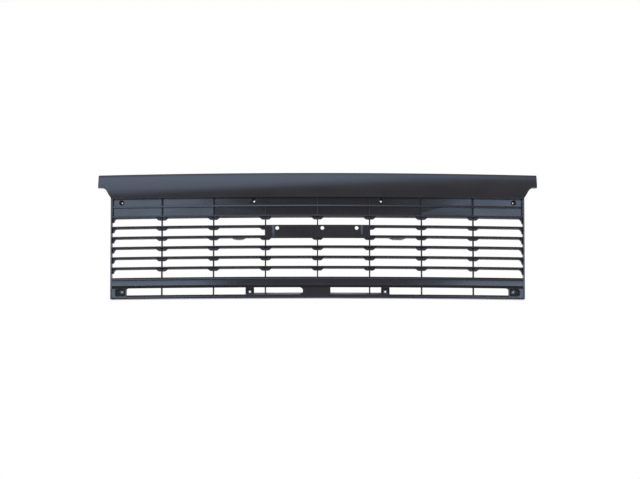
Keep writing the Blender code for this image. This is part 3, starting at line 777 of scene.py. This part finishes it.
def make_louvres():
    """Louvres 2 to 7. Louvres 3 and 4 are rebated for the badge plate, and 3 is cut back behind it."""
    bar = swept(louvre_outline(), -INNER_HALF, INNER_HALF)
    sides = [(x, sign) for x in mullion_places() for sign in (-1, 1)]
    gussets = {key: gusset(*key) for key in sides}
    hooks = [hook(-1), hook(1)]
    plain = join(bar, hooks + list(gussets.values()))
    rebate = bent(block(-BADGE_REBATE, BADGE_REBATE, -5 * MM, 1.3 * MM, -8 * MM, 8 * MM))
    second = join(swept(louvre_outline(True), -INNER_HALF, INNER_HALF), hooks + list(gussets.values()))
    dress(at_height(second, louvre_height(2)), "louvre_2", SATIN)
    for number in (5, 6, 7):
        node = f"louvre_{number}"
        dress(at_height(plain, louvre_height(number)), node, SATIN)
    fourth = cut(plain, [rebate])
    dress(at_height(fourth, louvre_height(4)), "louvre_4", SATIN)

    outside = [mesh for (x, sign), mesh in gussets.items() if abs(x + sign * MM) > BAY]
    third = join(bar, hooks + outside)
    inside = BAY - MULLION_HALF - GAP
    behind = bent(block(-inside, inside, 8 * MM, 40 * MM, -8 * MM, 8 * MM))
    beneath = bent(block(-inside, inside, -5 * MM, 40 * MM, -8 * MM, 0))
    for tool in (rebate, behind, beneath):
        third = cut(third, [tool])
    dress(at_height(third, louvre_height(3)), "louvre_3", SATIN)


def make_ridge():
    """The shallow first louvre in front of the closed panel, notched where the mullions pass behind."""
    middle = height_of("louvre_1", 1) - 1.8 * MM
    half_height = 2.3 * MM
    depth = 9.4 * MM
    outline = rounded(
        [
            (0, -half_height, 0.4 * MM),
            (depth, -half_height, 0),
            (depth, half_height, 0),
            (2.2 * MM, half_height, 0.4 * MM),
            (0.1 * MM, -half_height + 0.8 * MM, 0.5 * MM),
        ],
        5,
    )
    ridge = swept(supported(outline), -INNER_HALF, INNER_HALF)
    notches = []
    half = MULLION_HALF + GAP
    for x in mullion_places():
        y = FRONT_Y + bow(x)
        notches.append(block(x - half, x + half, y + 3.4 * MM, y + 20 * MM, BASE_Z - 5 * MM, BASE_Z + 5 * MM))
    dress(at_height(cut(ridge, notches), middle), "louvre_1", GLOSS)


# Mullions
def prow(mesh, low, high, front):
    """The comb with both front corners of its fin cut back to a shallow prow."""
    wedges = []
    corners = [(0.09 * MM, front - 0.1 * MM), (2.0 * MM, front - 0.1 * MM), (2.0 * MM, front + 1.1 * MM)]
    for sign in (-1, 1):
        wedges.append(skin([[Vector((sign * x, depth, up)) for x, depth in corners] for up in (low, high)]))
    return cut(mesh, wedges)


def make_mullions():
    """Seven combs, slotted from the front for the louvres, with a thin fin in front of the closed panel."""
    front = 4 * MM
    back = 28 * MM
    foot = height_of("mullion_4", 0)
    top = MOULDING_BOTTOM - TOUCH
    bridge = PANEL_BOTTOM + NOTCH_HEIGHT
    fin_back = PANEL_FRONT - TOUCH
    slot_back = 22.8 * MM
    outline = [(front, foot), (back, foot), (back, bridge)]
    outline += [(fin_back, bridge), (fin_back, top), (front, top)]
    for number in range(2, 8):
        upper = louvre_height(number) + LOUVRE_NOSE + TOUCH
        lower = louvre_height(number) + LOUVRE_TAIL_BOTTOM - TOUCH
        outline += [(front, upper), (slot_back, upper), (slot_back, lower), (front, lower)]
    comb = bevelled(slab(0, outline, MULLION_HALF), 0.3 * MM)
    comb = prow(comb, louvre_height(2) + LOUVRE_NOSE + 0.5 * MM, top + 1 * MM, front)
    for number, x in enumerate(mullion_places(), start=1):
        dress(moved(comb, x, FRONT_Y + bow(x), BASE_Z), f"mullion_{number}", SATIN)


# Side cheeks
def make_cheeks():
    inside = BODY_HALF - 3.5 * MM
    for sign, word in ((-1, "left"), (1, "right")):
        node = f"side_cheek_{word}"
        top = height_of(node, 1)
        corners = [(inside, 0, 0.4 * MM), (BODY_HALF, 0, 3 * MM), (BODY_HALF, top, 0), (inside, top, 0)]
        outline = rounded(corners, 5)
        cheek = plate([(sign * a, up) for a, up in outline], -0.5 * MM, 34 * MM, 0.3 * MM)
        dress(cheek, node, GLOSS)


# Lower rail
def make_lower_rail():
    """A softly convex face between two lips that lean back out of the light."""
    low = height_of("lower_rail", 0)
    high = height_of("lower_rail", 1)
    middle = (low + high) / 2
    half = (high - low) / 2
    lip = 2.6 * MM
    bulge = 2 * MM
    back = 3.4 * MM
    chord = half - lip
    steps = [i / 12 for i in range(-12, 13)]
    face = [(-bulge * (1 - 0.12 * t * t - 0.88 * t**6), middle + chord * t) for t in steps]
    inner = [(depth + 2 * MM, middle + (up - middle) * 0.92) for depth, up in reversed(face)]
    inner_half = half - 2.2 * MM
    outline = [(back - 0.3 * MM, low), (1.7 * MM, low), (1.2 * MM, low + 0.3 * MM), (0.6 * MM, low + 1.4 * MM)]
    outline += [(0.25 * MM, low + lip - 0.3 * MM)] + face
    outline += [(0.5 * MM, high - lip + 0.45 * MM), (1.3 * MM, high - lip + 0.55 * MM)]
    outline += [(1.5 * MM, high - lip + 0.75 * MM), (0.5 * MM, high - 0.5 * MM), (0.7 * MM, high - 0.1 * MM)]
    outline += [(1.1 * MM, high), (back - 0.3 * MM, high)]
    outline += [(back, high - 0.3 * MM), (back, middle + inner_half)] + inner
    outline += [(back, middle - inner_half), (back, low + 0.3 * MM)]
    dress(swept(outline, -INNER_HALF, INNER_HALF), "lower_rail", GLOSS)


# Bottom sill and slot row
ROW_LOW = height_of("centre_block", 0)
ROW_HEAD = height_of("centre_block", 1) + GAP - TOUCH
CORNER_OPENING = 476 * MM
CORNER_LOW = height_of("corner_pocket_right", 0)
POCKET_FLOOR = 16.5 * MM
SCREW_HOLE = 2.75 * MM
CORNER_HOLE_HEIGHT = 18.5 * MM
BRACKET_HOLE_HEIGHT = 17 * MM

# The recess of a pocket: its depth and how much its half width has changed there, in millimetres
RECESS = ((-30, 0.0), (1.5, 0.0), (8, -0.2), (15.3, -0.45), (16.2, -0.9), (16.5, -1.7))


def make_bottom_sill():
    """A lip and a flange, notched at both ends for the corner pockets."""
    top = height_of("bottom_sill", 1)
    wall = 3 * MM
    depth = 34 * MM
    outline = rounded(
        [
            (depth, 0, 0.8 * MM),
            (0.0, 0, 2.2 * MM),
            (-0.5 * MM, top / 2, 6 * MM),
            (0.0, top, 0.9 * MM),
            (wall, top, 0.6 * MM),
            (wall, wall, 1.2 * MM),
            (depth, wall, 0.8 * MM),
        ],
        4,
    )
    sill = swept(supported(outline), -INNER_HALF, INNER_HALF, [-CORNER_OPENING, CORNER_OPENING])
    notches = []
    for sign in (-1, 1):
        left, right = sorted((sign * (CORNER_OPENING - TOUCH), sign * (BODY_HALF + 5 * MM)))
        notches.append(bent(block(left, right, -5 * MM, 5 * MM, CORNER_LOW - TOUCH, top + 5 * MM)))
    dress(cut(sill, notches), "bottom_sill", GLOSS)


def make_centre_block():
    """The closed middle of the row, with the round end of the slot on its left."""
    low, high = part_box("centre_block")
    foot = ROW_LOW - GAP + TOUCH
    middle = (foot + ROW_HEAD) / 2
    radius = (ROW_HEAD - foot) / 2 - 0.1 * MM
    outline = [(high.x, foot), (high.x, ROW_HEAD), (low.x, ROW_HEAD)]
    outline += arc((low.x, middle), radius, 88, -88, 16)
    outline += [(low.x, foot)]
    dress(plate(outline, 0.5 * MM, 3.4 * MM), "centre_block", GLOSS)


def window_corner(sign, radius):
    """The concave corner piece at the upper outer end of the last slot."""
    start = CORNER_OPENING - radius
    outline = [(CORNER_OPENING + 1 * MM, ROW_HEAD), (start, ROW_HEAD)]
    outline += arc((start, ROW_HEAD - radius), radius, 87, 0, 8)
    outline += [(CORNER_OPENING + 1 * MM, ROW_HEAD - radius)]
    return plate([(sign * a, up) for a, up in outline], 0.6 * MM, 3.4 * MM)


def recess(mouth, middle, y):
    """The cutter for a pocket: its mouth's outline carried back and drawn in towards the floor."""
    rings = []
    for depth, grow in RECESS:
        ring = []
        for x, up in mouth:
            across = max(0.0, abs(x - middle.x) + grow * MM)
            along = max(0.0, abs(up - middle.z) + grow * MM)
            ring_x = middle.x + math.copysign(across, x - middle.x)
            ring_z = BASE_Z + middle.z + math.copysign(along, up - middle.z)
            ring.append(Vector((ring_x, y + depth * MM, ring_z)))
        rings.append(ring)
    return skin(rings)


def make_pocket(node, sign, hole_x, hole_height, corner):
    """A block with a deep rounded recess, a floor, a round boss behind and a screw hole."""
    low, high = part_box(node)
    foot = low.z - BASE_Z
    rim = 2 * MM
    left, right = low.x, high.x
    if corner:
        left, right = sorted((sign * CORNER_OPENING, sign * INNER_HALF))
    body = bent(block(left, right, 0.5 * MM, 22 * MM, foot, ROW_HEAD, 0.4 * MM))
    added = [rod(hole_x, hole_height, 6.5 * MM, POCKET_FLOOR + 1 * MM, 25 * MM)]
    margin = 8 * MM if corner else rim
    inner_radius = 1.6 * MM
    outer_radius = inner_radius
    if corner:
        added.append(window_corner(sign, 6 * MM if sign < 0 else 8 * MM))
        outer_radius = 4.5 * MM if sign < 0 else 8 * MM
    left, right = (left + margin, right - rim) if sign < 0 else (left + rim, right - margin)
    radii = (outer_radius, inner_radius) if sign < 0 else (inner_radius, outer_radius)
    sill = foot + rim
    roof = height_of("centre_block", 1) - (0.8 * MM if corner else rim)
    corners = [(left, sill, radii[0]), (right, sill, radii[1])]
    corners += [(right, roof, radii[1]), (left, roof, radii[0])]
    middle = Vector(((left + right) / 2, 0, (sill + roof) / 2))
    hollow = recess(rounded(corners, 6), middle, FRONT_Y + bow(hole_x))
    hole = rod(hole_x, hole_height, SCREW_HOLE, 0, 40 * MM)
    body = cut(cut(join(body, added), [hollow]), [hole])
    dress(body, node, GLOSS if corner else SATIN)


def make_pockets():
    for sign, word in ((-1, "left"), (1, "right")):
        make_pocket(f"corner_pocket_{word}", sign, sign * 488 * MM, CORNER_HOLE_HEIGHT, True)
        make_pocket(f"slot_bracket_{word}", sign, sign * 168 * MM, BRACKET_HOLE_HEIGHT, False)


def upright(outline, bottom, top):
    """An (x, y) outline made into an upright prism."""
    bm = bmesh.new()
    foot = [bm.verts.new((x, y, bottom)) for x, y in outline]
    head = [bm.verts.new((x, y, top)) for x, y in outline]
    bm.faces.new(foot)
    bm.faces.new(list(reversed(head)))
    for i in range(len(foot)):
        j = (i + 1) % len(foot)
        bm.faces.new((foot[j], foot[i], head[i], head[j]))
    return mesh_from(bm)


def seat_opening(middle, is_corner, height):
    """The hole in a retainer's seat: a small round one that grips a stud, or a tapered slot for a screw."""
    if is_corner:
        return rod(middle, height, 1.1 * MM, 0, 40 * MM)
    tongue = [(-2.7, -2.4), (2.7, -2.4), (0.7, 3.3), (-0.7, 3.3)]
    slot = plate([(across * MM, up * MM) for across, up in tongue], -1, 1, step=1)
    return moved(slot, middle, 0, height)


def make_retainers():
    """Folded spring plates: a U of thin steel with windows in its wings and a pierced seat."""
    wall = 0.8 * MM
    lip = 0.25 * MM
    for number in range(1, 5):
        node = f"screw_retainer_{number}"
        low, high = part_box(node)
        middle = (low.x + high.x) / 2
        half = (high.x - low.x) / 2
        front, back = low.y, high.y
        outline = rounded(
            [
                (middle - half, front, lip),
                (middle - half + wall, front, lip),
                (middle - half + wall, back - wall, 0.5 * MM),
                (middle + half - wall, back - wall, 0.5 * MM),
                (middle + half - wall, front, lip),
                (middle + half, front, lip),
                (middle + half, back, 1.3 * MM),
                (middle - half, back, 1.3 * MM),
            ],
            4,
        )
        clip = upright(outline, low.z, high.z)
        is_corner = abs(middle) > BODY_HALF / 2
        height = CORNER_HOLE_HEIGHT if is_corner else BRACKET_HOLE_HEIGHT
        tools = [seat_opening(middle, is_corner, height)]
        sill = BASE_Z + height - 1.4 * MM
        head = BASE_Z + height + 1.4 * MM
        for side in (-1, 1):
            x = middle + side * half
            tools.append(block(x - 2 * MM, x + 2 * MM, front + 1.6 * MM, front + 3.6 * MM, sill, head))
        rim = (high.z - 1.3 * MM, high.z + 1 * MM)
        tools.append(block(middle - 1, middle + 1, front - 1 * MM, front + 1.2 * MM, *rim))
        clip = bevelled(cut(clip, tools), 0.12 * MM, 1, 50)
        dress(clip, node, STEEL)


def make_cups():
    """Turned cups with a rounded lip, a dished floor and a flat seat behind."""
    for node, (_, radius) in CUPS.items():
        inner = radius - 1.4 * MM
        neck = min(6 * MM, radius - 1 * MM)
        corners = [
            (radius, 8.6 * MM, 0.5 * MM),
            (radius, 16.5 * MM, 0.3 * MM),
            (neck, 17 * MM, 0.3 * MM),
            (neck, 24 * MM, 0.3 * MM),
            (2.4 * MM, 24 * MM, 0.2 * MM),
            (2.4 * MM, 13.5 * MM, 0.5 * MM),
            (inner, 13.0 * MM, 1.2 * MM),
            (inner, 8.6 * MM, 0.5 * MM),
        ]
        cup = turned(rounded(corners, 4), 64)
        dress(at_cup(cup, node), node, SATIN)


# Badge plate
BADGE_STEP_X = 111 * MM
BADGE_STEP_HEIGHT = 161 * MM
BADGE_HOLES = (-100 * MM, 12 * MM, 97 * MM)
BADGE_HOLE_HEIGHT = 173.8 * MM


def badge_step(sign, half, front, top):
    """The cutter that steps one end of the plate back, with sloped edges along its inner side and foot."""
    step = 1 * MM
    slope = 2.6 * MM
    outside = half + 6 * MM
    above = top + 6 * MM
    rings = []
    for depth, spread in ((front - 3 * step, 4 * slope), (front, slope), (front + step, 0.0)):
        x = BADGE_STEP_X - spread
        foot = BADGE_STEP_HEIGHT - spread
        corners = [(x, foot), (outside, foot), (outside, above), (x, above)]
        rings.append([Vector((sign * across, depth, up)) for across, up in corners])
    return skin(rings)


def badge_hole():
    """The cutter for a badge hole with a sloped rim, about the Y axis."""
    profile = [(6.2 * MM, -6 * MM), (6.2 * MM, -2.2 * MM), (4.5 * MM, -0.9 * MM), (4.5 * MM, 8 * MM)]
    rings = []
    for i in range(40):
        angle = 2 * math.pi * i / 40
        rings.append([Vector((r * math.cos(angle), depth, r * math.sin(angle))) for r, depth in profile])
    return drill(rings)


def make_badge_plate():
    low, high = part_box("badge_plate")
    half = high.x
    bottom, top = low.z - BASE_Z, high.z - BASE_Z
    front = -1.5 * MM
    board = block(-half, half, front, 1 * MM, bottom, top, 0.5 * MM)
    board = cut(board, [badge_step(sign, half, front, top) for sign in (-1, 1)])
    board = cut(board, [moved(badge_hole(), x, 0, BADGE_HOLE_HEIGHT) for x in BADGE_HOLES])
    dress(bent(board), "badge_plate", GLOSS)


def drill(rings):
    """A turned cutter from profiles around the axis, closed at both ends."""
    bm = bmesh.new()
    made = [[bm.verts.new(point) for point in ring] for ring in rings]
    count = len(made)
    for i in range(count):
        a, b = made[i], made[(i + 1) % count]
        for k in range(len(a) - 1):
            bm.faces.new((a[k], a[k + 1], b[k + 1], b[k]))
    bm.faces.new([ring[0] for ring in made])
    bm.faces.new([ring[-1] for ring in reversed(made)])
    return mesh_from(bm)


# Grey tabs and support strips
def make_tabs():
    """A half-moon tab on the left and a wider one with sloped ends on the right."""
    front = LOUVRE_DEPTH + GAP
    for word in ("left", "right"):
        node = f"grey_tab_{word}"
        low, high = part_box(node)
        bottom, top = low.z - BASE_Z, high.z - BASE_Z
        middle, half = (low.x + high.x) / 2, (high.x - low.x) / 2
        if word == "left":
            outline = [(middle + half, top)]
            waist = top - 4 * MM
            for i in range(29):
                angle = math.pi * i / 28
                outline.append((middle + half * math.cos(angle), waist - (waist - bottom) * math.sin(angle)))
            outline.append((middle - half, top))
        else:
            corners = [
                (low.x, top, 0),
                (low.x, top - 5 * MM, 3 * MM),
                (low.x + 8 * MM, bottom + 3 * MM, 6 * MM),
                (low.x + 16 * MM, bottom, 6 * MM),
                (high.x - 15 * MM, bottom, 6 * MM),
                (high.x - 8 * MM, bottom + 3 * MM, 6 * MM),
                (high.x, top - 5 * MM, 3 * MM),
                (high.x, top, 0),
            ]
            outline = rounded(corners, 5)
        # The tabs take the grey plastic whose paleness is partly painted light.
        dress(plate(outline, front, front + 2 * MM, 0.35 * MM), node, GREY_WITH_PAINTED_LIGHT)


def make_support_strips():
    for word in ("left", "right"):
        node = f"support_strip_{word}"
        low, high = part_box(node)
        strip = block(low.x, high.x, 28.6 * MM, 30.6 * MM, low.z - BASE_Z, high.z - BASE_Z, 0.5 * MM)
        # The strips take the second grey copy, whose tone is partly painted light.
        dress(bent(strip), node, STRIP_GREY_WITH_PAINTED_LIGHT)


make_top_moulding()
make_upper_panel()
make_ridge()
make_louvres()
make_mullions()
make_cheeks()
make_lower_rail()
make_bottom_sill()
make_centre_block()
make_pockets()
make_retainers()
make_cups()
make_badge_plate()
make_tabs()
make_support_strips()


# ---------------------------------------------------------------- studio


FLOOR_HEIGHT = -0.78
FLOOR_REACH = 20
VIEW_RISE = math.radians(-5.4)
VIEW_DISTANCE = 7.0
VIEW_WIDTH = 1.597
VIEW_RIGHT = 6.1 * MM
VIEW_DOWN = 7.75 * MM
SENSOR = 36


def make_floor():
    """A flat floor below the grille."""
    bm = bmesh.new()
    bmesh.ops.create_grid(bm, x_segments=1, y_segments=1, size=FLOOR_REACH)
    floor = bpy.data.objects.new("floor", mesh_from(bm))
    floor.location.z = FLOOR_HEIGHT
    bpy.context.scene.collection.objects.link(floor)
    pale = bpy.data.materials.new("pale_floor")
    pale.use_nodes = True
    tree = pale.node_tree
    shader = tree.nodes["Principled BSDF"]
    shader.inputs["Base Color"].default_value = (0.80, 0.80, 0.80, 1)
    shader.inputs["Roughness"].default_value = 0.9
    floor.data.materials.append(pale)
    floor.visible_glossy = False
    floor.visible_diffuse = False


def make_sky():
    """White to the camera. Reflections show a cool panel overhead and a low one on each side in front."""
    world = bpy.data.worlds.new("studio")
    bpy.context.scene.world = world
    world.use_nodes = True
    tree = world.node_tree
    tree.nodes.clear()
    way = tree.nodes.new("ShaderNodeTexCoord").outputs["Generated"]
    parts = tree.nodes.new("ShaderNodeSeparateXYZ")
    tree.links.new(way, parts.inputs[0])
    degree = 180 / math.pi
    rise = calc(tree, "MULTIPLY", calc(tree, "ARCSINE", parts.outputs[2]), degree)
    ahead = calc(tree, "MULTIPLY", parts.outputs[1], -1.0)
    turn = calc(tree, "MULTIPLY", calc(tree, "ARCTAN2", parts.outputs[0], ahead), degree)

    # The overhead panel's lower edge climbs from left to right, all in degrees
    start = ramp(tree, turn, -30, 0, 16, 42, False)
    start = calc(tree, "ADD", start, ramp(tree, turn, 0, 30, 0, 18, False))
    above = calc(tree, "SUBTRACT", rise, start)
    facing = calc(tree, "MULTIPLY", ramp(tree, turn, -50, -32), ramp(tree, turn, 50, 32))
    overhead = calc(tree, "MULTIPLY", ramp(tree, above, 0, 28), ramp(tree, ahead, -0.04, 0.10))
    overhead = calc(tree, "MULTIPLY", overhead, calc(tree, "MAXIMUM", facing, ramp(tree, rise, 20, 40)))

    # The low panels at the sides
    low = calc(tree, "MULTIPLY", ramp(tree, rise, -9, -3), ramp(tree, rise, 12, 7))
    beside = calc(tree, "ADD", ramp(tree, turn, -12.6, -14.0), ramp(tree, turn, 15.3, 18.5))
    beside = calc(tree, "MULTIPLY", beside, calc(tree, "MULTIPLY", low, facing))

    mirrored = blend_colour(tree, overhead, (0.46, 0.45, 0.51, 1), (1.60, 2.00, 2.70, 1))
    mirrored = blend_colour(tree, beside, mirrored, (2.45, 3.05, 4.05, 1))
    mirrored = blend_colour(tree, ramp(tree, rise, -9, -18), mirrored, (0.30, 0.28, 0.29, 1))

    # A brighter band just below the horizon
    glow = calc(tree, "MULTIPLY", ramp(tree, rise, -14, -9), ramp(tree, rise, -1, -5))
    mirrored = blend_colour(tree, glow, mirrored, (2.2, 2.2, 2.3, 1), "MULTIPLY")

    # Scattered light, brighter from above
    soft = ramp(tree, rise, -30, 60, 0.30, 1.20)
    scattered = blend_colour(tree, 1.0, (1.0, 0.96, 0.98, 1), soft, "MULTIPLY")
    path = tree.nodes.new("ShaderNodeLightPath")
    light = blend_colour(tree, path.outputs["Is Diffuse Ray"], mirrored, scattered)
    studio = tree.nodes.new("ShaderNodeBackground")
    tree.links.new(light, studio.inputs["Color"])
    white = add_node(tree, "ShaderNodeBackground", Color=(1, 1, 1, 1), Strength=1.0)
    mix = tree.nodes.new("ShaderNodeMixShader")
    tree.links.new(path.outputs["Is Camera Ray"], mix.inputs[0])
    tree.links.new(studio.outputs[0], mix.inputs[1])
    tree.links.new(white.outputs[0], mix.inputs[2])
    world.cycles.sampling_method = "NONE"
    out = tree.nodes.new("ShaderNodeOutputWorld")
    tree.links.new(mix.outputs[0], out.inputs["Surface"])


def make_light(name, place, aim, size, power, colour):
    data = bpy.data.lights.new(name, "AREA")
    data.shape = "RECTANGLE"
    data.size, data.size_y = size
    data.energy = power
    data.color = colour
    lamp = bpy.data.objects.new(name, data)
    lamp.location = place
    lamp.rotation_euler = (Vector(aim) - Vector(place)).to_track_quat("-Z", "Y").to_euler()
    bpy.context.scene.collection.objects.link(lamp)


def make_camera():
    look = Vector((0, math.cos(VIEW_RISE), -math.sin(VIEW_RISE)))
    up = Vector((0, math.sin(VIEW_RISE), math.cos(VIEW_RISE)))
    target = Vector((VIEW_RIGHT, 0, 0)) - up * VIEW_DOWN
    data = bpy.data.cameras.new("camera")
    data.sensor_width = SENSOR
    data.sensor_fit = "HORIZONTAL"
    data.lens = SENSOR * VIEW_DISTANCE / VIEW_WIDTH
    camera = bpy.data.objects.new("camera", data)
    camera.location = target - look * VIEW_DISTANCE
    camera.rotation_euler = look.to_track_quat("-Z", "Y").to_euler()
    bpy.context.scene.collection.objects.link(camera)
    bpy.context.scene.camera = camera


make_floor()
make_sky()
make_light("overhead", (-0.3, -1.2, 2.2), (0, 0, 0), (2.4, 1.6), 1.5, (1.0, 1.0, 1.0))
make_camera()
bpy.context.scene.view_settings.view_transform = "Standard"
